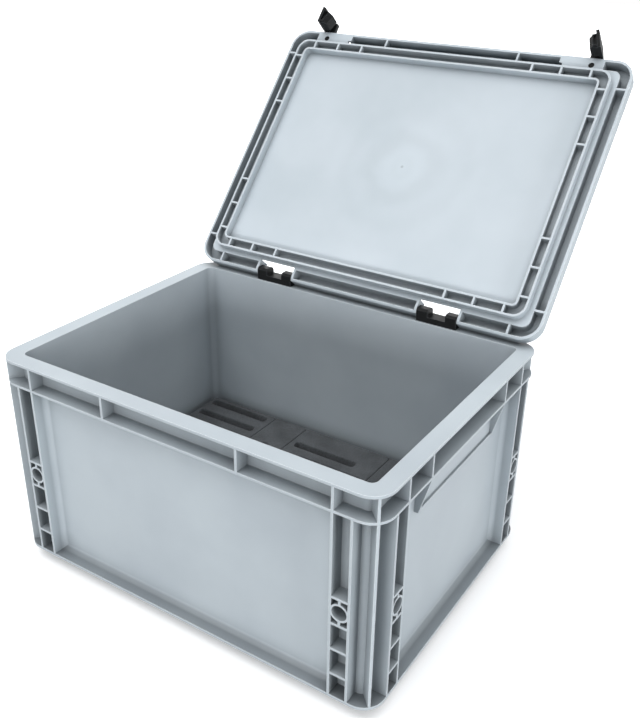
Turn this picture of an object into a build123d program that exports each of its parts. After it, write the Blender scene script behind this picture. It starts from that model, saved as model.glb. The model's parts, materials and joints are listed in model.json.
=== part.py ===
from build123d import *
import os
from math import cos, radians, sin

# Phone storage box: a moulded stacking crate with a hinged lid, two clasps and a slotted foam insert.
# The origin is the middle of the underside, +Z is up and the front, with the clasps, faces -Y.
# The lid and the clasps are drawn shut and then turned to the open position in which they rest.

# Crate
crate_length = 400.0
crate_width = 300.0
crate_height = 220.0
corner_radius = 20.0
rim_width = 16.0
opening_radius = 6.0
wall = 2.5
wall_lean = 1.0
floor = 3.0
rim_plate = 2.5
band_height = 25.0
rib = 2.2
base_flange = 2.8
foot_height = 13.0
foot_play = 1.0

# Corner columns and band ribs
column_inset = 41.5
column_width = 17.0
cell_pitch = 26.0
cell_count = 4
ring_wall = 1.6
band_rib_place = 71.0
panel_fillet = 5.0

# Grip under the band at each end
grip_drop = 35.0
grip_shelf_depth = 4.0
grip_backing = 2.0

# Lid
lid_gap = 0.3
lid_height = 15.0
lid_plate = 2.5
skirt = 2.5
lid_edge_radius = 4.0
ledge_inset = 12.0
ring_drop = 8.7
ring_thick = 2.0
outer_ring_inset = 18.0
inner_ring_inset = 28.0
outer_ring_radius = 12.0
inner_ring_radius = 5.0
ring_rib_count = 3
ring_rib_pitch = 30.5
ring_rib_end_inset = 38.5
channel_rib_corner = 30.0
channel_rib_from_pad = 45.0

# Hinges
open_angle = 131.5
pin_inset = 6.0
pin_lift = 8.3
pin_radius = 2.5
pin_play = 0.06
axle_skin = 0.7
axle_end_play = 0.1
hinge_end_inset = 103.0
notch_length = 44.0
notch_depth = 15.0
roll_gap = 0.3
stop_gap = 0.05
stop_strip = 6.0
clip_play = 0.5
clip_front_inset = 14.0
clip_back_inset = 0.5
clip_bar_height = 6.0
arm_length = 12.0
arm_head_radius = 5.0
arm_corner = 2.0
leg_length = 8.0
leg_thick = 2.5
leg_place = 13.0
leg_inset = 5.0
leg_play = 0.1
barb_reach = 0.9
barb_height = 3.0

# Clasps
clasp_end_inset = 44.0
clasp_inset = 8.0
clasp_open_angle = 70.0
pad_inboard = 33.0
pad_outboard = 12.5
pad_wall = 2.0
pad_pocket_depth = 13.8
stud_radius = 3.0
stud_play = 0.06
stud_head_radius = 4.6
stud_head_height = 1.6
stud_recess = 0.6
clasp_gap = 0.3
hub_radius = 5.5
hub_height = 6.0
arm_thick = 4.0
lever_front_play = 0.6
lever_plate = 3.0
lever_reach = 22.0
lever_drop = 24.6
lever_tip_rise = 6.6
hook_reach = 7.8
hook_height = 14.5
hook_play = 0.4
hook_chamfer = 3.0
hook_set_in = 1.0
lever_corner = 1.0
nick_size = 3.5

# Foam insert
foam_play = 4.0
foam_base = 25.0
foam_block = 30.0
foam_joint = 0.5
slot_length = 77.0
slot_width = 10.0
row_pitch = 25.0
row_front_margin = 42.5
row_rear_margin = 10.5
left_block_length = 88.5
left_slot_margin = 4.0
left_strip_length = 42.0
right_strip_length = 16.0
right_block_length = 99.5
right_slot_margin = 18.0
strip_slot_length = 154.0
middle_split = 12.0
middle_split_gap = 11.0
middle_pair_gap = 22.0
middle_pair_count = 4
middle_pitch = 48.0
middle_slot_margin = 6.0
middle_shift = 9.0

# Places that follow from the sizes above
half_length = crate_length / 2
half_width = crate_width / 2
opening_length = crate_length - 2 * rim_width
opening_width = crate_width - 2 * rim_width
band_low = crate_height - band_height
panel_low = foot_height + base_flange
column_rib_x = half_length - column_inset
column_rib_y = half_width - column_inset
lid_low = crate_height + lid_gap
lid_top = lid_low + lid_height
pin_y = half_width - pin_inset
pin_z = crate_height + pin_lift
stud_y = -half_width + clasp_inset
hinge_place = half_length - hinge_end_inset
clasp_place = half_length - clasp_end_inset
pad_inner = clasp_place - pad_inboard
pad_outer = clasp_place + pad_outboard


def rounded_block(length, width, radius, z_low, z_high):
    plan = RectangleRounded(length, width, radius)
    return Pos(0, 0, z_low) * extrude(plan, z_high - z_low)


def block(x_low, x_high, y_low, y_high, z_low, z_high):
    size = Box(x_high - x_low, y_high - y_low, z_high - z_low)
    return Pos((x_low + x_high) / 2, (y_low + y_high) / 2, (z_low + z_high) / 2) * size


def inset_block(inset, radius, z_low, z_high):
    return rounded_block(crate_length - 2 * inset, crate_width - 2 * inset, radius, z_low, z_high)


def four_ways(shape):
    # A rib set drawn at the front right is mirrored to all four corners.
    pair = shape + mirror(shape, Plane.YZ)
    return pair + mirror(pair, Plane.XZ)


def column(rib_place, face, base):
    # One column seen from the front: two upright ribs, cross ribs and a ring held between two webs.
    outer_place = rib_place + column_width
    middle = rib_place + column_width / 2
    ring_outer = column_width / 2
    parts = block(rib_place - rib / 2, rib_place + rib / 2, -face, -base, foot_height, crate_height)
    parts += block(outer_place - rib / 2, outer_place + rib / 2, -face, -base, foot_height, band_low + rib)
    for number in range(1, cell_count + 1):
        level = foot_height + number * cell_pitch
        parts += block(rib_place, outer_place, -face, -base, level - rib / 2, level + rib / 2)
    ring_level = foot_height + (cell_count - 0.5) * cell_pitch
    web_half = cell_pitch / 2
    web = block(middle - rib / 2, middle + rib / 2, -face, -base, ring_level - web_half, ring_level + web_half)
    aim = Plane(origin=(middle, -base, ring_level), z_dir=(0, -1, 0))
    disc = extrude(aim * Circle(ring_outer), face - base)
    bore = extrude(aim * Circle(ring_outer - ring_wall), face - base)
    return parts + ((web + disc) - bore)


def turned(shape):
    # Front-facing detail turned to the right-hand end.
    return Rot(0, 0, 90) * shape


def panel_edge_fillet(half_span, face, base):
    # Material left in the corners where a recessed panel meets the ribs and flanges round it.
    frame = block(-half_span, half_span, -face, -base, panel_low, band_low)
    recess = block(-half_span, half_span, -face - panel_fillet, -base, panel_low, band_low)
    back = recess.faces().sort_by(Axis.Y)[-1]
    return frame - fillet(back.edges(), panel_fillet)


def grip():
    # Right-hand end: fingers go under the band between two gussets, before a thickened wall with a small shelf.
    base = opening_length / 2 + wall
    root = base - wall / 2
    foot = base + grip_shelf_depth
    low = band_low - grip_drop
    gusset_line = [(root, band_low), (half_length, band_low), (foot, low), (root, low)]
    gusset = extrude(Plane.XZ * make_face(Polyline(*gusset_line, close=True)), rib / 2, both=True)
    backing = block(root, base + grip_backing, -band_rib_place, band_rib_place, low, band_low + rib / 2)
    shelf = block(root, foot, -band_rib_place, band_rib_place, low, low + rib)
    return Pos(0, band_rib_place, 0) * gusset + Pos(0, -band_rib_place, 0) * gusset + backing + shelf


def box_body():
    outer_wall = inset_block(rim_width - wall, opening_radius + wall, foot_height, crate_height)
    foot_inset = rim_width + foot_play
    foot = inset_block(foot_inset, opening_radius, 0, foot_height + base_flange)
    rim = inset_block(0, corner_radius, crate_height - rim_plate, crate_height)
    band_rib = inset_block(0, corner_radius, band_low, band_low + rib)
    base_rib = inset_block(0, corner_radius, foot_height, panel_low)
    front_base = opening_width / 2 + wall / 2
    end_base = opening_length / 2 + wall / 2
    ribs = four_ways(column(column_rib_x, half_width, front_base))
    ribs += four_ways(turned(column(column_rib_y, half_length, end_base)))
    band_post = block(
        band_rib_place - rib / 2,
        band_rib_place + rib / 2,
        -half_width,
        -front_base,
        band_low,
        crate_height,
    )
    end_post = block(
        band_rib_place - rib / 2,
        band_rib_place + rib / 2,
        -half_length,
        -end_base,
        band_low,
        crate_height,
    )
    ribs += four_ways(band_post) + four_ways(turned(end_post))
    # A web from each corner of the wall to the crate's own corner, cut off there with all the ribs.
    spoke = Pos(half_length - corner_radius, -half_width + corner_radius, 0) * Rot(0, 0, -45)
    spoke *= block(0, 2 * corner_radius, -rib / 2, rib / 2, foot_height, crate_height)
    ribs += four_ways(spoke)
    ribs &= inset_block(0, corner_radius, foot_height, crate_height)
    fillets = panel_edge_fillet(column_rib_x - rib / 2, half_width, opening_width / 2 + wall)
    fillets += mirror(fillets, Plane.XZ)
    end_fillets = turned(panel_edge_fillet(column_rib_y - rib / 2, half_length, opening_length / 2 + wall))
    fillets += end_fillets + mirror(end_fillets, Plane.YZ)
    grips = grip() + mirror(grip(), Plane.YZ)
    body = outer_wall + foot + rim + band_rib + base_rib + ribs + fillets + grips
    mouth = Plane.XY.offset(crate_height) * RectangleRounded(opening_length, opening_width, opening_radius)
    low_length = opening_length - 2 * wall_lean
    low_width = opening_width - 2 * wall_lean
    low_plan = Plane.XY.offset(panel_low) * RectangleRounded(low_length, low_width, opening_radius)
    hollow = loft([low_plan, mouth], ruled=True)
    well = inset_block(foot_inset + wall, opening_radius - wall / 2, floor, panel_low + 1)
    body -= hollow + well
    for side in (-1, 1):
        for leg in (-1, 1):
            x = side * hinge_place + leg * leg_place
            y = half_width - leg_inset
            reach = leg_length / 2 + leg_play
            depth = leg_thick / 2 + leg_play
            low = crate_height - rim_plate - 1
            body -= block(x - reach, x + reach, y - depth, y + depth, low, crate_height + 1)
    return body


def ring_wall_block(inset, radius):
    outside = inset_block(inset - ring_thick / 2, radius + ring_thick / 2, lid_low - ring_drop, lid_low + 1)
    inside = inset_block(inset + ring_thick / 2, radius - ring_thick / 2, lid_low - ring_drop, lid_low)
    return outside - inside


def ring_cross_ribs():
    low = lid_low - ring_drop
    half = ring_thick / 2
    front = half_width - outer_ring_inset
    back = half_width - inner_ring_inset
    right = half_length - outer_ring_inset
    left = half_length - inner_ring_inset
    ribs = None
    for number in range(ring_rib_count):
        along = half_length - ring_rib_end_inset - number * ring_rib_pitch
        across = half_width - ring_rib_end_inset - number * ring_rib_pitch
        pair = block(along - half, along + half, -front, -back, low, lid_low + 1)
        pair += block(left, right, -across - half, -across + half, low, lid_low + 1)
        ribs = pair if ribs is None else ribs + pair
    return four_ways(ribs)


def channel_ribs():
    # Short webs that tie the skirt to the ledge near each corner and beside each clasp pad.
    half = ring_thick / 2
    top = lid_top - 1
    side = half_width - channel_rib_corner - half
    web = block(half_length - ledge_inset, half_length - skirt / 2, -side - half, -side + half, lid_low, top)
    webs = four_ways(web)
    rear = half_length - channel_rib_corner
    rear_web = block(rear - half, rear + half, half_width - ledge_inset, half_width - skirt / 2, lid_low, top)
    near = pad_inner - channel_rib_from_pad
    near_web = block(near - half, near + half, -half_width + skirt / 2, -half_width + ledge_inset, lid_low, top)
    pair = rear_web + near_web
    return webs + pair + mirror(pair, Plane.YZ)


def upright(x, y, radius, z_low, z_high):
    return Pos(x, y, z_low) * Cylinder(radius, z_high - z_low, align=(Align.CENTER, Align.CENTER, Align.MIN))


def clasp_pad():
    # Right-hand pad: the channel and the bead are closed here by a low shelf with a wall behind and at each end.
    back = -half_width + pad_pocket_depth + skirt
    return block(pad_inner, pad_outer, -half_width, back, lid_low, lid_top)


def pad_cuts():
    # The shelf's pocket is open at the top and the front, so that the lever swings in it below the lid's top.
    shelf = lid_low + lid_plate
    back = -half_width + pad_pocket_depth
    pocket = block(pad_inner + pad_wall, pad_outer - pad_wall, -half_width - 1, back, shelf, lid_top + 1)
    bore = upright(clasp_place, stud_y, stud_radius + stud_play, lid_low - 1, shelf + 1)
    nick_back = -half_width + ledge_inset
    nick = block(pad_inner, pad_inner + nick_size, nick_back - nick_size, nick_back, lid_low - 1, lid_top + 1)
    return pocket + bore + nick


def hinge_notch_walls():
    # Right-hand notch: the side walls that are left of this block when the notch is cut carry the axles.
    half = notch_length / 2 + skirt
    front = half_width - ledge_inset - skirt
    return block(hinge_place - half, hinge_place + half, front, half_width, lid_low, lid_top)


def hinge_notch_cut():
    half = notch_length / 2
    front = half_width - notch_depth
    cut = block(hinge_place - half, hinge_place + half, front, half_width + 1, lid_low - 1, lid_top + 1)
    aim = Plane(origin=(hinge_place, pin_y, pin_z), z_dir=(1, 0, 0))
    bore = extrude(aim * Circle(pin_radius + pin_play), half + skirt - axle_skin, both=True)
    return cut + bore


def rear_roll_cut():
    # The rear skirt ends on an arc about the hinge axis, so that it rolls over the rim as the lid opens.
    low = lid_low - 1
    strip = block(-half_length - 1, half_length + 1, pin_y, half_width + 1, low, pin_z)
    aim = Plane(origin=(0, pin_y, pin_z), z_dir=(1, 0, 0))
    keep = extrude(aim * Circle(pin_lift - roll_gap), half_length + 2, both=True)
    return strip - keep


def rear_stop_strip():
    # The rear top edge is a firm strip with a flat, which comes down on the rim and stops the open lid.
    reach = half_length - corner_radius
    strip = block(-reach, reach, half_width - stop_strip, half_width, lid_top - stop_strip, lid_top)
    flat = Pos(0, pin_y, pin_z) * Rot(open_angle - 180, 0, 0)
    depth = pin_lift - stop_gap
    return strip - flat * block(-reach - 1, reach + 1, -crate_width, crate_width, depth, depth + crate_width)


def lid():
    envelope = inset_block(0, corner_radius, lid_low, lid_top)
    envelope = fillet(envelope.faces().sort_by(Axis.Z)[-1].edges(), lid_edge_radius)
    bead_wall = ledge_inset + skirt
    recess = inset_block(bead_wall, corner_radius - bead_wall, lid_low + lid_plate, lid_top + 1)
    channel = inset_block(skirt, corner_radius - skirt, lid_low - 1, lid_top - lid_plate)
    core = inset_block(ledge_inset, corner_radius - ledge_inset, lid_low - 1, lid_top)
    body = envelope - recess - (channel - core)
    body += ring_wall_block(outer_ring_inset, outer_ring_radius)
    body += ring_wall_block(inner_ring_inset, inner_ring_radius)
    body += ring_cross_ribs() + channel_ribs() + rear_stop_strip()
    additions = (clasp_pad() + hinge_notch_walls()) & envelope
    body += additions + mirror(additions, Plane.YZ)
    cuts = pad_cuts() + hinge_notch_cut()
    return body - cuts - mirror(cuts, Plane.YZ) - rear_roll_cut()


def hinge_clip(side):
    # One moulding: a bar on the rim, two arms with stub axles and two barbed legs through the rim plate.
    half = notch_length / 2 - clip_play
    front = half_width - clip_front_inset
    back = half_width - clip_back_inset
    bar = block(-half, half, front, back, crate_height, crate_height + clip_bar_height)
    side_plane = Plane(origin=(0, 0, 0), x_dir=(0, 1, 0), z_dir=(1, 0, 0))
    shank_line = [
        (front, crate_height),
        (back, crate_height),
        (pin_y + arm_head_radius, pin_z),
        (pin_y, pin_z + arm_head_radius),
        (front + arm_corner, pin_z + arm_head_radius),
        (front, pin_z + arm_head_radius - arm_corner),
    ]
    profile = make_face(Polyline(*shank_line, close=True)) + Pos(pin_y, pin_z) * Circle(arm_head_radius)
    arm = extrude(side_plane * profile, arm_length)
    clip = bar + Pos(-half, 0, 0) * arm + Pos(half - arm_length, 0, 0) * arm
    aim = Plane(origin=(0, pin_y, pin_z), z_dir=(1, 0, 0))
    axle_end = notch_length / 2 + skirt - axle_skin - axle_end_play
    axle = extrude(aim * Circle(pin_radius), axle_end, both=True)
    gap = half - arm_length
    axle -= block(-gap, gap, pin_y - arm_head_radius, pin_y + arm_head_radius, crate_height, lid_top)
    clip += axle
    leg_y = half_width - leg_inset
    for leg in (-1, 1):
        x = leg * leg_place
        low = crate_height - rim_plate - barb_height
        clip += block(
            x - leg_length / 2,
            x + leg_length / 2,
            leg_y - leg_thick / 2,
            leg_y + leg_thick / 2,
            low,
            crate_height,
        )
        barb_line = [
            (leg_y - leg_thick / 2, low),
            (leg_y - leg_thick / 2, low + barb_height - leg_play),
            (leg_y - leg_thick / 2 - barb_reach, low + barb_height - leg_play),
        ]
        barb = extrude(side_plane * make_face(Polyline(*barb_line, close=True)), leg_length)
        clip += Pos(x - leg_length / 2, 0, 0) * barb
    return Pos(side * hinge_place, 0, 0) * clip


def lever_near_edge(forward):
    # How far inboard of the stud the lever begins, so that it stands clear of the rim when it is turned out.
    clear = clasp_inset + lever_front_play
    turn = radians(clasp_open_angle)
    return (clear - forward * cos(turn)) / sin(turn)


def lever_plan(points, z_low, z_high):
    # Points are given as inboard and forward distances from the stud.
    line = [(clasp_place - inboard, stud_y - forward) for inboard, forward in points]
    return Pos(0, 0, z_low) * extrude(make_face(Polyline(*line, close=True)), z_high - z_low)


def clasp_lever():
    # Right-hand lever, shut: hub and arm on the lid's shelf, a finger plate before the band, a hook in the band.
    arm_low = lid_low + lid_plate + clasp_gap
    arm_high = arm_low + arm_thick
    plate_in = clasp_inset + lever_front_play
    plate_out = plate_in + lever_plate
    near = lever_near_edge(plate_in)
    hub = upright(clasp_place, stud_y, hub_radius, arm_low, arm_low + hub_height)
    arm_points = [
        (0, -hub_radius),
        (lever_reach, plate_in - hub_radius),
        (lever_reach, plate_out),
        (near, plate_out),
        (-hub_radius, 0),
    ]
    arm = lever_plan(arm_points, arm_low, arm_high)
    low = crate_height - lever_drop
    plate_line = [
        (clasp_place - near, arm_high),
        (clasp_place - near, low + lever_tip_rise),
        (clasp_place - lever_reach + lever_corner, low),
        (clasp_place - lever_reach, low + lever_corner),
        (clasp_place - lever_reach, arm_high),
    ]
    plate = Plane.XZ * make_face(Polyline(*plate_line, close=True))
    plate = Pos(0, stud_y - plate_in, 0) * extrude(plate, lever_plate)
    hook_top = crate_height - rim_plate - hook_play
    hook_back = plate_in - hook_reach
    hook_points = [
        (near, plate_in),
        (lever_near_edge(hook_back), hook_back),
        (lever_reach - hook_set_in, hook_back),
        (lever_reach - hook_set_in, plate_in),
    ]
    hook = lever_plan(hook_points, hook_top - hook_height, hook_top)
    lead = hook.edges().filter_by(Axis.X).group_by(Axis.Y)[-1].sort_by(Axis.Z)[0]
    lever = hub + arm + plate + chamfer(lead, hook_chamfer)
    return lever - upright(clasp_place, stud_y, stud_radius, arm_low - 1, arm_low + hub_height + 1)


def clasp_stud():
    hub_top = lid_low + lid_plate + clasp_gap + hub_height
    shaft = upright(clasp_place, stud_y, stud_radius, lid_low + stud_recess, hub_top)
    return shaft + upright(clasp_place, stud_y, stud_head_radius, hub_top, hub_top + stud_head_height)


def clasp_opened(shape):
    return Pos(clasp_place, stud_y, 0) * Rot(0, 0, clasp_open_angle) * Pos(-clasp_place, -stud_y, 0) * shape


def lid_opened(shape):
    return Pos(0, pin_y, pin_z) * Rot(-open_angle, 0, 0) * Pos(0, -pin_y, -pin_z) * shape


def slot(x, y, length, width, z_low, z_high):
    return block(x - length / 2, x + length / 2, y - width / 2, y + width / 2, z_low - 1, z_high + 1)


def foam_parts():
    inset = rim_width + foot_play + wall + foam_play
    x_half = half_length - inset
    y_half = half_width - inset
    base_top = floor + foam_base
    top = base_top + foam_block
    gap = foam_joint / 2
    left_edge = -x_half + left_block_length
    right_edge = x_half - right_block_length
    middle_left = left_edge + left_strip_length
    middle_right = right_edge - right_strip_length
    left = block(-x_half, left_edge - gap, -y_half, y_half, base_top, top)
    right = block(right_edge + gap, x_half, -y_half, y_half, base_top, top)
    left_centre = -x_half + left_slot_margin + slot_length / 2
    right_centre = x_half - right_slot_margin - slot_length / 2
    row_count = int((2 * y_half - row_front_margin - row_rear_margin) / row_pitch) + 1
    for number in range(row_count):
        y = -y_half + row_front_margin + number * row_pitch
        left -= slot(left_centre, y, slot_length, slot_width, base_top, top)
        right -= slot(right_centre, y, slot_length, slot_width, base_top, top)
    strip_left = block(left_edge + gap, middle_left - gap, -y_half, y_half, base_top, top)
    strip_right = block(middle_right + gap, right_edge - gap, -y_half, y_half, base_top, top)
    strip_left -= slot((left_edge + middle_left) / 2, 0, slot_width, strip_slot_length, base_top, top)
    strip_right -= slot((middle_right + right_edge) / 2, 0, slot_width, strip_slot_length, base_top, top)
    front = block(middle_left + gap, middle_right - gap, -y_half, middle_split - gap, base_top, top)
    rear = block(middle_left + gap, middle_right - gap, middle_split + gap, y_half, base_top, top)
    centre = (middle_left + middle_right) / 2
    length = middle_right - middle_left - 2 * (middle_slot_margin + middle_shift)
    for pair in range(middle_pair_count):
        y = middle_split + middle_split_gap + (pair - middle_pair_count // 2) * middle_pitch
        near = slot(centre + middle_shift, y, length, slot_width, base_top, top)
        far = slot(centre - middle_shift, y + middle_pair_gap, length, slot_width, base_top, top)
        front -= near + far
        rear -= near + far
    return {
        "foam_base": block(-x_half, x_half, -y_half, y_half, floor, base_top),
        "foam_left": left,
        "foam_right": right,
        "foam_strip_left": strip_left,
        "foam_strip_right": strip_right,
        "foam_middle_front": front,
        "foam_middle_rear": rear,
    }


os.makedirs("parts", exist_ok=True)
nodes = {"box_body": box_body(), "lid": lid_opened(lid())}
nodes["hinge_clip_left"] = hinge_clip(-1)
nodes["hinge_clip_right"] = hinge_clip(1)
lever = clasp_opened(clasp_lever())
stud = clasp_opened(clasp_stud())
nodes["clasp_lever_right"] = lid_opened(lever)
nodes["clasp_lever_left"] = lid_opened(mirror(lever, Plane.YZ))
nodes["clasp_stud_right"] = lid_opened(stud)
nodes["clasp_stud_left"] = lid_opened(mirror(stud, Plane.YZ))
nodes.update(foam_parts())
for name, shape in nodes.items():
    export_step(shape, f"parts/{name}.step")
    print(name, round(shape.volume), len(shape.solids()))
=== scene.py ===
import json
from math import cos, pi, radians, sin

import bmesh
import bpy
from mathutils import Matrix, Vector


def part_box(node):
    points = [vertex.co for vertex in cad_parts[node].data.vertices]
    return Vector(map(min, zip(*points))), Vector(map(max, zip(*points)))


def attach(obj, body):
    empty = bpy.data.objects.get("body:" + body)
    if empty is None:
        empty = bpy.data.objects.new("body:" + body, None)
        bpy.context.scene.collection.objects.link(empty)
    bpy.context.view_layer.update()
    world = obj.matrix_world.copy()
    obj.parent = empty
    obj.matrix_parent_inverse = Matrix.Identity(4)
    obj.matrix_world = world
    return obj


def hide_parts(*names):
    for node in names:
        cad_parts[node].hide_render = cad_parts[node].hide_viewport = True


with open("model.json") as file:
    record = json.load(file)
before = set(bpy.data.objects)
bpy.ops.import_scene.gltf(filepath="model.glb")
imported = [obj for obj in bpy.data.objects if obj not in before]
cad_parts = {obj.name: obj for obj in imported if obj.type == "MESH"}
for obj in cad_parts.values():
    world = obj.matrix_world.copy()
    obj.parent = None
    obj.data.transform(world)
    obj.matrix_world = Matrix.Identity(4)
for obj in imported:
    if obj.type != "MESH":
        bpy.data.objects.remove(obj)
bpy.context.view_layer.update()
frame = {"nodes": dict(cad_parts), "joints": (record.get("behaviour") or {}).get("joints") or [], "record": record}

# A phone storage box: a grey moulded stacking crate whose lid stands open on two black hinge clips.
# Two black clasps are turned out at the front edge of the lid, and a slotted foam insert lies in the crate.

# Crate
# One injection moulding in light grey polypropylene with a matt spark-eroded skin. The wall, the rim flange,
# the ribbed corner columns and the end grips are a single piece, with every free edge slightly rounded.

moulding_edge = 0.0008
# Pale grey of the painted highlight along the edges.
edge_highlight_grey = "#EAEFF2"
crate_grey = "#B4BDC3"
crate_shade = "#AAB3BA"
crate_pocket_reach = 0.024
ledge_top = 0.024
ledge_fade = 0.004


def linear(hex_colour):
    channels = [int(hex_colour[place:place + 2], 16) / 255 for place in (1, 3, 5)]
    straight = [value / 12.92 if value <= 0.04045 else ((value + 0.055) / 1.055) ** 2.4 for value in channels]
    return (*straight, 1.0)


def add(tree, kind, settings=None, links=None):
    node = tree.nodes.new(kind)
    for name, value in (settings or {}).items():
        if isinstance(name, int) or name in node.inputs:
            node.inputs[name].default_value = value
        else:
            setattr(node, name, value)
    for name, source in (links or {}).items():
        tree.links.new(source, node.inputs[name])
    return node


def start_material(name):
    material = bpy.data.materials.new(name)
    material.use_nodes = True
    material.node_tree.nodes.clear()
    return material, material.node_tree


def edge_mask(tree, radius):
    # Where the rounded normal leaves the flat one, the surface is at an edge, and this mask places the painted
    # highlight there.
    rounded = add(tree, "ShaderNodeBevel", {"samples": 6, "Radius": radius}).outputs["Normal"]
    flat = add(tree, "ShaderNodeNewGeometry").outputs["Normal"]
    likeness = add(tree, "ShaderNodeVectorMath", {"operation": "DOT_PRODUCT"}, {0: rounded, 1: flat})
    edge_glint = add(
        tree,
        "ShaderNodeMapRange",
        {"From Min": 0.80, "From Max": 0.996, "To Min": 1.0, "To Max": 0.0},
        {"Value": likeness.outputs["Value"]},
    ).outputs["Result"]
    return rounded, edge_glint


def ledge_painted_shade(tree, place):
    # Painted shade on the ledge at the foot of each panel, where the face looks up and lies low.
    facing = add(tree, "ShaderNodeNewGeometry").outputs["Normal"]
    facing_up = add(
        tree,
        "ShaderNodeMapRange",
        {"From Min": 0.15, "From Max": 0.60, "To Min": 0.0, "To Max": 0.46},
        {"Value": add(tree, "ShaderNodeSeparateXYZ", links={"Vector": facing}).outputs["Z"]},
    ).outputs["Result"]
    low_down = add(
        tree,
        "ShaderNodeMapRange",
        {"From Min": ledge_top, "From Max": ledge_top + ledge_fade, "To Min": 1.0, "To Max": 0.0},
        {"Value": add(tree, "ShaderNodeSeparateXYZ", links={"Vector": place}).outputs["Z"]},
    ).outputs["Result"]
    on_ledge = add(tree, "ShaderNodeMath", {"operation": "MULTIPLY"}, {0: facing_up, 1: low_down}).outputs[0]
    return add(tree, "ShaderNodeMath", {"operation": "SUBTRACT", 0: 1.0}, {1: on_ledge}).outputs[0]


def polypropylene(name, body_colour, shade_colour, pocket_reach, marks_and_painted_light):
    # The eye sees a soft grey sheen: faint clouding where the melt flowed, a fine grain, a painted highlight along
    # the open edges and painted shade in the pockets. The spark-eroded grain of about 0.1 mm is drawn at 0.7 mm
    # so that it shows.
    grain_size = 0.0007
    flow_size = 0.09
    material, tree = start_material(name)
    place = add(tree, "ShaderNodeTexCoord").outputs["Object"]
    flow = add(
        tree,
        "ShaderNodeTexNoise",
        {"Scale": 1 / flow_size, "Detail": 3.0, "Roughness": 0.5},
        {"Vector": place},
    ).outputs["Fac"]
    grain = add(tree, "ShaderNodeTexNoise", {"Scale": 1 / grain_size, "Detail": 2.0}, {"Vector": place})
    cloud = add(
        tree,
        "ShaderNodeMapRange",
        {"From Min": 0.30, "From Max": 0.66, "To Min": 0.0, "To Max": 1.0},
        {"Value": flow},
    ).outputs["Result"]
    clouded = add(
        tree,
        "ShaderNodeMix",
        {"data_type": "RGBA", 6: linear(shade_colour), 7: linear(body_colour)},
        {0: cloud},
    ).outputs[2]
    # Near 1 on open faces and free edges, and low down in the pockets between the ribs.
    open_air = add(tree, "ShaderNodeAmbientOcclusion", {"samples": 8, "Distance": pocket_reach}).outputs["AO"]
    exposed = add(
        tree,
        "ShaderNodeMapRange",
        {"From Min": 0.55, "From Max": 0.85, "To Min": 0.0, "To Max": 0.9},
        {"Value": open_air},
    ).outputs["Result"]
    rounded, edge_glint = edge_mask(tree, moulding_edge)
    edge_highlight_amount = add(tree, "ShaderNodeMath", {"operation": "MULTIPLY"}, {0: edge_glint, 1: exposed}).outputs[0]
    # Painted highlight: the open edges are mixed toward a pale grey.
    edge_highlit = add(
        tree,
        "ShaderNodeMix",
        {"data_type": "RGBA", 7: linear(edge_highlight_grey)},
        {0: edge_highlight_amount, 6: clouded},
    ).outputs[2]
    # Painted shade: the colour is darkened down to 0.42 where the ambient occlusion is low, in the pockets between
    # the ribs.
    pocket_painted_shade = add(
        tree,
        "ShaderNodeMapRange",
        {"From Min": 0.20, "From Max": 0.85, "To Min": 0.42, "To Max": 1.0},
        {"Value": open_air},
    ).outputs["Result"]
    # The colour is scaled by the painted shade of the pockets, then by the marks and painted light of the piece.
    colour = edge_highlit
    for factor in (pocket_painted_shade, marks_and_painted_light(tree, place)):
        scaled = add(tree, "ShaderNodeVectorMath", {"operation": "SCALE"}, {0: colour, "Scale": factor})
        colour = scaled.outputs["Vector"]
    sheen_spread = add(
        tree,
        "ShaderNodeMapRange",
        {"From Min": 0.3, "From Max": 0.7, "To Min": 0.42, "To Max": 0.54},
        {"Value": flow},
    ).outputs["Result"]
    bump = add(
        tree,
        "ShaderNodeBump",
        {"Strength": 0.16, "Distance": 0.0001},
        {"Height": grain.outputs["Fac"], "Normal": rounded},
    )
    shader = add(
        tree,
        "ShaderNodeBsdfPrincipled",
        {
            "IOR": 1.49,
            "Metallic": 0.0,
            "Specular IOR Level": 0.38,
            "Subsurface Weight": 0.06,
            "Subsurface Radius": (0.004, 0.004, 0.004),
        },
        {"Base Color": colour, "Roughness": sheen_spread, "Normal": bump.outputs["Normal"]},
    )
    add(tree, "ShaderNodeOutputMaterial", links={"Surface": shader.outputs["BSDF"]})
    return material


def dress(node, material):
    for slot in frame["nodes"][node].material_slots:
        slot.material = material


crate_skin = polypropylene("moulded_polypropylene", crate_grey, crate_shade, crate_pocket_reach, ledge_painted_shade)
dress("box_body", crate_skin)

# Lid
# The lid is moulded in the same polypropylene. Its panel is thin, and its greys are drawn slightly paler as
# painted light for its brighter look. It has faint flow rings round the gate mark, and it stands open at the rear
# on the hinge clips.

# A paler copy of the crate's greys, painted light for the thin lid panel.
lid_lit_grey = "#B7C0C7"
lid_lit_cloud = "#AEB8BF"
lid_pocket_reach = 0.015
shut_panel_height = 0.22

joints = {joint["name"]: joint for joint in frame["joints"]}
lid_pivot = Vector(joints["lid_hinge"]["pos_m"])
lid_angle = radians(joints["lid_hinge"]["range_deg"][1])
gate_from_pivot = Vector((0.0, -lid_pivot.y, shut_panel_height - lid_pivot.z))
gate_place = lid_pivot + Matrix.Rotation(-lid_angle, 3, "X") @ gate_from_pivot


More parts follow.
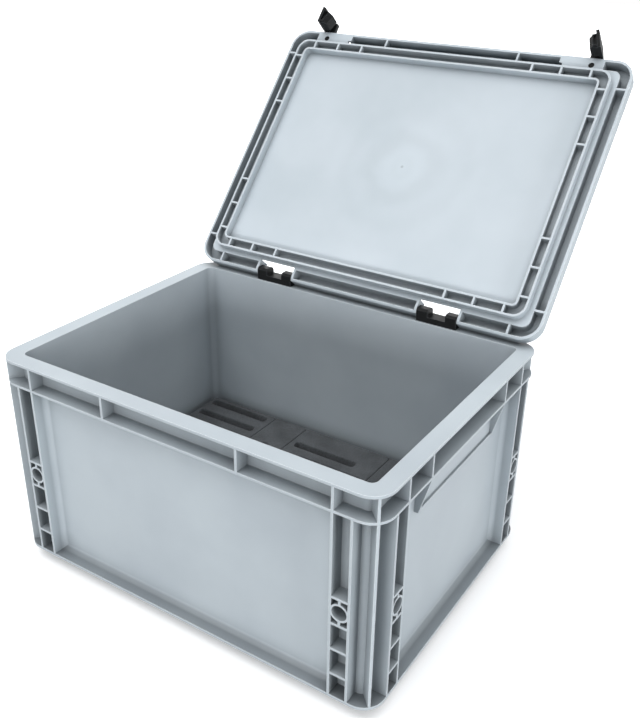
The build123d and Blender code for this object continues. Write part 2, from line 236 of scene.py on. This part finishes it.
def gate_marks_sheen_and_shade(tree, place):
    # The melt came in at the gate, and flow rings spread from it. A brighter disc round the gate is a painted
    # sheen, and its small dimple is darkened with painted shade.
    wobble_size = 0.0455
    wobble_reach = 0.034
    ring_spacing = 0.0314
    ring_count = 8
    from_gate = add(
        tree,
        "ShaderNodeVectorMath",
        {"operation": "DISTANCE", 1: tuple(gate_place)},
        {0: place},
    ).outputs["Value"]
    wobble = add(tree, "ShaderNodeTexNoise", {"Scale": 1 / wobble_size, "Detail": 2.0}, {"Vector": place})
    wavy = add(
        tree,
        "ShaderNodeMath",
        {"operation": "MULTIPLY_ADD", 1: wobble_reach},
        {0: wobble.outputs["Fac"], 2: from_gate},
    ).outputs[0]
    turns = add(
        tree,
        "ShaderNodeMapRange",
        {"From Min": 0.0, "From Max": ring_count * ring_spacing, "To Min": 0.0, "To Max": ring_count * 2 * pi},
        {"Value": wavy},
    ).outputs["Result"]
    rings = add(tree, "ShaderNodeMath", {"operation": "SINE"}, {0: turns}).outputs[0]
    ring_depth = add(
        tree,
        "ShaderNodeMapRange",
        {"From Min": 0.02, "From Max": 0.11, "To Min": 0.022, "To Max": 0.0},
        {"Value": from_gate},
    ).outputs["Result"]
    rings_sheen_and_shade = add(
        tree,
        "ShaderNodeMath",
        {"operation": "MULTIPLY_ADD", 2: 1.0},
        {0: rings, 1: ring_depth},
    ).outputs[0]
    # Painted sheen on a disc round the gate, and painted shade in its dimple.
    painted_sheen_disc = add(
        tree,
        "ShaderNodeMapRange",
        {"From Min": 0.020, "From Max": 0.050, "To Min": 1.09, "To Max": 1.0},
        {"Value": wavy},
    ).outputs["Result"]
    painted_dimple_shade = add(
        tree,
        "ShaderNodeMapRange",
        {"From Min": 0.0010, "From Max": 0.0020, "To Min": 0.72, "To Max": 1.0},
        {"Value": from_gate},
    ).outputs["Result"]
    for painted_spot in (painted_sheen_disc, painted_dimple_shade):
        rings_sheen_and_shade = add(tree, "ShaderNodeMath", {"operation": "MULTIPLY"}, {0: rings_sheen_and_shade, 1: painted_spot}).outputs[0]
    return rings_sheen_and_shade


lid_skin = polypropylene("lid_polypropylene", lid_lit_grey, lid_lit_cloud, lid_pocket_reach, gate_marks_sheen_and_shade)
dress("lid", lid_skin)

# Hinge clips and clasps
# Clips, levers and studs are glass-filled nylon in black, moulded in polished tools. The clips snap into the
# rear rim of the crate, and each lever turns on its stud in a front pad of the lid.

nylon_edge = 0.0008
nylon_black = "#090A0B"
nylon_smear = "#101213"
# Grey of the painted highlight along the nylon edges.
nylon_highlight_grey = "#565B5F"


def black_nylon(name):
    # The eye sees a dark satin skin with soft painted highlights along the edges and hardly any grain. The grain
    # of the fibres, about 0.2 mm, is drawn at 0.9 mm so that it shows.
    grain_size = 0.0009
    smear_size = 0.0111
    material, tree = start_material(name)
    place = add(tree, "ShaderNodeTexCoord").outputs["Object"]
    grain = add(tree, "ShaderNodeTexNoise", {"Scale": 1 / grain_size, "Detail": 3.0}, {"Vector": place})
    smear = add(
        tree,
        "ShaderNodeTexNoise",
        {"Scale": 1 / smear_size, "Detail": 2.0},
        {"Vector": place},
    ).outputs["Fac"]
    base = add(
        tree,
        "ShaderNodeMix",
        {"data_type": "RGBA", 6: linear(nylon_black), 7: linear(nylon_smear)},
        {0: smear},
    ).outputs[2]
    rounded, edge_glint = edge_mask(tree, nylon_edge)
    nylon_highlight_amount = add(
        tree,
        "ShaderNodeMapRange",
        {"From Min": 0.0, "From Max": 1.0, "To Min": 0.0, "To Max": 0.75},
        {"Value": edge_glint},
    ).outputs["Result"]
    # Painted highlight: the edges are mixed toward a paler grey.
    edge_highlit = add(
        tree,
        "ShaderNodeMix",
        {"data_type": "RGBA", 7: linear(nylon_highlight_grey)},
        {0: nylon_highlight_amount, 6: base},
    ).outputs[2]
    sheen_spread = add(
        tree,
        "ShaderNodeMapRange",
        {"From Min": 0.3, "From Max": 0.7, "To Min": 0.46, "To Max": 0.58},
        {"Value": smear},
    ).outputs["Result"]
    bump = add(
        tree,
        "ShaderNodeBump",
        {"Strength": 0.2, "Distance": 0.0001},
        {"Height": grain.outputs["Fac"], "Normal": rounded},
    )
    shader = add(
        tree,
        "ShaderNodeBsdfPrincipled",
        {"IOR": 1.42, "Metallic": 0.0, "Specular IOR Level": 0.28},
        {"Base Color": edge_highlit, "Roughness": sheen_spread, "Normal": bump.outputs["Normal"]},
    )
    add(tree, "ShaderNodeOutputMaterial", links={"Surface": shader.outputs["BSDF"]})
    return material


nylon = black_nylon("black_nylon")
for side in ("left", "right"):
    for part in ("hinge_clip", "clasp_lever", "clasp_stud"):
        dress(f"{part}_{side}", nylon)

# Hook rims
# The hook of each clasp is cored out on its lower face, so that the wall stays thin, and a low rim is left on
# three sides of the hollow, inside the sloped lead of the hook. It is moulded with the lever in black nylon.

# The stud's place and the height of the hook's lower face are those of the shut lid.
stud_from_pivot = Vector(joints["clasp_right_turn"]["pos_m"]) - lid_pivot
stud_place = lid_pivot + Matrix.Rotation(lid_angle, 3, "X") @ stud_from_pivot
clasp_open_angle = radians(joints["clasp_left_turn"]["range_deg"][1])
hook_low = 0.2026
rim_drop = 0.0024
rim_root = 0.0003
rim_edge = 0.00025
millimetre = 0.001
# Distances from the stud in millimetres, toward the middle of the lid and then toward the front.
rim_plan = [(6.7, 8.7), (8.3, 4.0), (20.8, 4.0), (20.8, 8.7), (19.6, 8.7), (19.6, 5.2), (9.3, 5.2), (8.1, 8.7)]


def about(point, angle, axis):
    return Matrix.Translation(point) @ Matrix.Rotation(angle, 4, axis) @ Matrix.Translation(-point)


def in_fixed_order(shape):
    # The bevel lists its faces in no fixed order, so each is started at its first corner and they are sorted.
    shape.verts.index_update()
    faces = []
    for face in shape.faces:
        numbers = [corner.index for corner in face.verts]
        start = numbers.index(min(numbers))
        faces.append(numbers[start:] + numbers[:start])
    return sorted(faces)


def hook_rim(side, outward):
    # Drawn on the shut lid for the right clasp, then turned out with it, mirrored for the left one, and opened.
    shape = bmesh.new()
    ring = []
    for inward, forward in rim_plan:
        x = stud_place.x - inward * millimetre
        y = stud_place.y - forward * millimetre
        ring.append(shape.verts.new((x, y, hook_low + rim_root)))
    upper = shape.faces.new(ring)
    lowered = bmesh.ops.extrude_face_region(shape, geom=[upper])["geom"]
    corners = [item for item in lowered if isinstance(item, bmesh.types.BMVert)]
    bmesh.ops.translate(shape, verts=corners, vec=(0.0, 0.0, -rim_drop - rim_root))
    bmesh.ops.bevel(shape, geom=shape.edges[:], offset=rim_edge, segments=2, affect="EDGES", profile=0.5)
    facing = Matrix.Scale(outward, 4, (1.0, 0.0, 0.0))
    shape.transform(about(lid_pivot, -lid_angle, "X") @ facing @ about(stud_place, clasp_open_angle, "Z"))
    shape.normal_update()
    bmesh.ops.recalc_face_normals(shape, faces=shape.faces[:])
    mesh = bpy.data.meshes.new(f"hook_rim_{side}")
    mesh.from_pydata([corner.co for corner in shape.verts], [], in_fixed_order(shape))
    shape.free()
    mesh.materials.append(nylon)
    piece = bpy.data.objects.new(mesh.name, mesh)
    bpy.context.collection.objects.link(piece)
    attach(piece, f"clasp_{side}")


hook_rim("left", -1)
hook_rim("right", 1)

# Foam insert
# Closed-cell polyethylene foam, cut from sheet with a die, so that the faces are flat with open pores and the
# slots have slightly rounded ends. The blocks lie on one base pad and stand side by side without glue.

foam_edge = 0.0012
foam_corner = 2 * foam_edge
slot_end_radius = 0.003
foam_pit_shade = "#26292C"
foam_wall = "#4A4E52"


def polyethylene_foam(name):
    # The eye sees a dull charcoal with fine pits, drawn darker as painted shade in the open pores; cells of 0.6 mm
    # are drawn at 1.1 mm so that they show.
    cell_size = 0.0011
    cloud_size = 0.0286
    material, tree = start_material(name)
    place = add(tree, "ShaderNodeTexCoord").outputs["Object"]
    cells = add(tree, "ShaderNodeTexVoronoi", {"Scale": 1 / cell_size, "Randomness": 1.0}, {"Vector": place})
    clouds = add(tree, "ShaderNodeTexNoise", {"Scale": 1 / cloud_size, "Detail": 4.0}, {"Vector": place})
    pits = add(
        tree,
        "ShaderNodeMapRange",
        {"From Min": 0.05, "From Max": 0.55, "To Min": 0.0, "To Max": 1.0},
        {"Value": cells.outputs["Distance"]},
    ).outputs["Result"]
    tone = add(tree, "ShaderNodeMath", {"operation": "MULTIPLY"}, {0: pits, 1: clouds.outputs["Fac"]})
    paleness = add(
        tree,
        "ShaderNodeMapRange",
        {"From Min": 0.1, "From Max": 0.6, "To Min": 0.0, "To Max": 1.0},
        {"Value": tone.outputs[0]},
    ).outputs["Result"]
    # Painted shade: the pits take the darker colour, and the clouds vary the tone at random.
    colour = add(
        tree,
        "ShaderNodeMix",
        {"data_type": "RGBA", 6: linear(foam_pit_shade), 7: linear(foam_wall)},
        {0: paleness},
    ).outputs[2]
    bump = add(tree, "ShaderNodeBump", {"Strength": 0.5, "Distance": 0.0003}, {"Height": pits})
    shader = add(
        tree,
        "ShaderNodeBsdfPrincipled",
        {"IOR": 1.5, "Metallic": 0.0, "Roughness": 0.93, "Sheen Weight": 0.15, "Sheen Roughness": 0.6},
        {"Base Color": colour, "Normal": bump.outputs["Normal"]},
    )
    add(tree, "ShaderNodeOutputMaterial", links={"Surface": shader.outputs["BSDF"]})
    return material


def closed_loop(curve, points):
    loop = curve.splines.new("POLY")
    loop.points.add(len(points) - 1)
    for point, (x, y) in zip(loop.points, points):
        point.co = (x, y, 0.0, 1.0)
    loop.use_cyclic_u = True


def rounded_outline(low, high, radius):
    steps = 6
    points = []
    corners = [(high.x, high.y, 0), (low.x, high.y, 1), (low.x, low.y, 2), (high.x, low.y, 3)]
    for x, y, quarter in corners:
        inward_x = radius if x == low.x else -radius
        inward_y = radius if y == low.y else -radius
        for step in range(steps + 1):
            angle = (quarter + step / steps) * pi / 2
            points.append((x + inward_x + radius * cos(angle), y + inward_y + radius * sin(angle)))
    return points


def cut_foam(node, slots):
    # A flat outline with the slots as holes in it gets the sheet's thickness and a round along every cut.
    low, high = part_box(node)
    name = node + "_cut"
    curve = bpy.data.curves.new(name, "CURVE")
    curve.dimensions = "2D"
    curve.fill_mode = "BOTH"
    curve.extrude = (high.z - low.z) / 2 - foam_edge
    curve.bevel_depth = foam_edge
    curve.bevel_resolution = 2
    curve.offset = -foam_edge
    closed_loop(curve, rounded_outline(low, high, foam_corner))
    for slot_low, slot_high in slots:
        closed_loop(curve, rounded_outline(slot_low, slot_high, slot_end_radius))
    shape = bpy.data.objects.new(name + "_outline", curve)
    mesh = bpy.data.meshes.new_from_object(shape)
    bpy.data.objects.remove(shape)
    mesh.transform(Matrix.Translation((0.0, 0.0, (low.z + high.z) / 2)))
    mesh.materials.clear()
    mesh.materials.append(foam)
    piece = bpy.data.objects.new(name, mesh)
    bpy.context.collection.objects.link(piece)
    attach(piece, "box")
    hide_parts(node)


foam = polyethylene_foam("polyethylene_foam")
slot_boxes = [
    (Vector(opening["box_m"][0]), Vector(opening["box_m"][1]))
    for opening in frame["record"]["physics"]["openings"]
    if "slot" in opening["name"]
]
cut_foam("foam_base", [])
for node in ("foam_left", "foam_right", "foam_strip_left", "foam_strip_right",
             "foam_middle_front", "foam_middle_rear"):
    low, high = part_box(node)
    inside = [
        (first, last)
        for first, last in slot_boxes
        if low.x < first.x and last.x < high.x and low.y < first.y and last.y < high.y
    ]
    cut_foam(node, inside)

# Studio
# A pale floor and soft rectangular lamps stand under a bright light tent. The floor and the tent show white to
# the camera and in reflections, and the camera stands where the product was photographed from.

floor_half = 6.0
board_seen_colour = "#E4E6E8"
board_bounce_colour = "#8F9294"
floor_mesh = bpy.data.meshes.new("floor")
ground = bmesh.new()
ground.faces.new([
    ground.verts.new((x * floor_half, y * floor_half, 0.0))
    for x, y in ((-1, -1), (1, -1), (1, 1), (-1, 1))
])
ground.to_mesh(floor_mesh)
ground.free()
floor = bpy.data.objects.new("floor", floor_mesh)
bpy.context.collection.objects.link(floor)


def backdrop_seen(tree):
    # 1 for the rays that only show the backdrop: straight to the camera, mirrored, or through glass.
    path = add(tree, "ShaderNodeLightPath").outputs
    seen = path["Is Camera Ray"]
    for ray in ("Is Glossy Ray", "Is Transmission Ray"):
        seen = add(tree, "ShaderNodeMath", {"operation": "MAXIMUM"}, {0: seen, 1: path[ray]}).outputs[0]
    return seen


def pale_floor(name):
    # Matt painted board. It throws little light back up. Where it is seen it also glows, a painted light that
    # grows from 0.3 near the middle to full white from 1 m out, so that it is white apart from the crate's own
    # soft shadow.
    material, tree = start_material(name)
    seen = backdrop_seen(tree)
    place = add(tree, "ShaderNodeTexCoord").outputs["Object"]
    # Painted glow where the board is seen, rising with distance from the middle.
    painted_glow = add(
        tree,
        "ShaderNodeMapRange",
        {"From Min": 0.3, "From Max": 1.0, "To Min": 0.30, "To Max": 1.0},
        {"Value": add(tree, "ShaderNodeVectorMath", {"operation": "LENGTH"}, {0: place}).outputs["Value"]},
    ).outputs["Result"]
    tone = add(
        tree,
        "ShaderNodeMix",
        {"data_type": "RGBA", 6: linear(board_bounce_colour), 7: linear(board_seen_colour)},
        {0: seen},
    ).outputs[2]
    dull = add(tree, "ShaderNodeBsdfDiffuse", links={"Color": tone}).outputs["BSDF"]
    glow = add(tree, "ShaderNodeEmission", {"Color": (1.0, 1.0, 1.0, 1.0)}, {"Strength": painted_glow})
    lit = add(tree, "ShaderNodeAddShader", links={0: dull, 1: glow.outputs["Emission"]}).outputs["Shader"]
    shown = add(tree, "ShaderNodeMixShader", links={0: seen, 1: dull, 2: lit}).outputs["Shader"]
    add(tree, "ShaderNodeOutputMaterial", links={"Surface": shown})
    return material


floor_mesh.materials.append(pale_floor("pale_floor"))

# The light tent is bright overhead and falls off toward the floor, where the room was darker.
tent = bpy.data.worlds.new("studio")
bpy.context.scene.world = tent
tent.use_nodes = True
sky = tent.node_tree
sky.nodes.clear()
way = add(sky, "ShaderNodeTexCoord").outputs["Generated"]
overhead = add(
    sky,
    "ShaderNodeMapRange",
    {"From Min": 0.50, "From Max": 0.85, "To Min": 0.05, "To Max": 2.10},
    {"Value": add(sky, "ShaderNodeSeparateXYZ", links={"Vector": way}).outputs["Z"]},
).outputs["Result"]
strength = add(
    sky,
    "ShaderNodeMix",
    {"data_type": "FLOAT", 3: 1.0},
    {0: backdrop_seen(sky), 2: overhead},
).outputs[0]
backdrop = add(sky, "ShaderNodeBackground", {"Color": (1.0, 1.0, 1.0, 1.0)}, {"Strength": strength})
add(sky, "ShaderNodeOutputWorld", links={"Surface": backdrop.outputs["Background"]})

lamp_target = Vector((0.0, 0.0, 0.2))


def lamp(name, place, width, height, watts):
    light = bpy.data.lights.new(name, "AREA")
    light.shape = "RECTANGLE"
    light.size = width
    light.size_y = height
    light.energy = watts
    holder = bpy.data.objects.new(name, light)
    bpy.context.collection.objects.link(holder)
    holder.location = place
    holder.rotation_euler = (lamp_target - Vector(place)).to_track_quat("-Z", "Y").to_euler()
    return holder


lamp("key_softbox", place=(-0.5, -1.0, 2.1), width=1.0, height=0.8, watts=9.6)
lamp("front_softbox", place=(0.1, -2.2, 0.35), width=1.2, height=0.5, watts=22)
side_softbox = lamp("side_softbox", place=(2.0, -0.45, 0.3), width=0.7, height=0.4, watts=21)
lamp("rear_softbox", place=(-1.1, 2.0, 0.4), width=1.2, height=0.5, watts=16)
# The side lamp lies in line with the open lid, and its mirror image would burn out the panel from the left.
side_softbox.visible_glossy = False

# The camera's place, turn and lens were fitted to the corners of the crate in the photograph.
camera_place = Vector((0.4381, -0.6069, 0.5887))
azimuth = radians(32.565)
elevation = radians(26.722)
tilt = radians(0.902)
focal_length = 45.48
sensor_width = 36.0

forward = Vector((-sin(azimuth) * cos(elevation), cos(azimuth) * cos(elevation), -sin(elevation)))
level = Vector((cos(azimuth), sin(azimuth), 0.0))
upward = level.cross(forward)
right = level * cos(tilt) + upward * sin(tilt)
over = upward * cos(tilt) - level * sin(tilt)
camera_data = bpy.data.cameras.new("camera")
camera_data.lens = focal_length
camera_data.sensor_width = sensor_width
camera = bpy.data.objects.new("camera", camera_data)
bpy.context.collection.objects.link(camera)
camera.matrix_world = Matrix.Translation(camera_place) @ Matrix((right, over, -forward)).transposed().to_4x4()
bpy.context.scene.camera = camera
bpy.context.scene.view_settings.view_transform = "Standard"
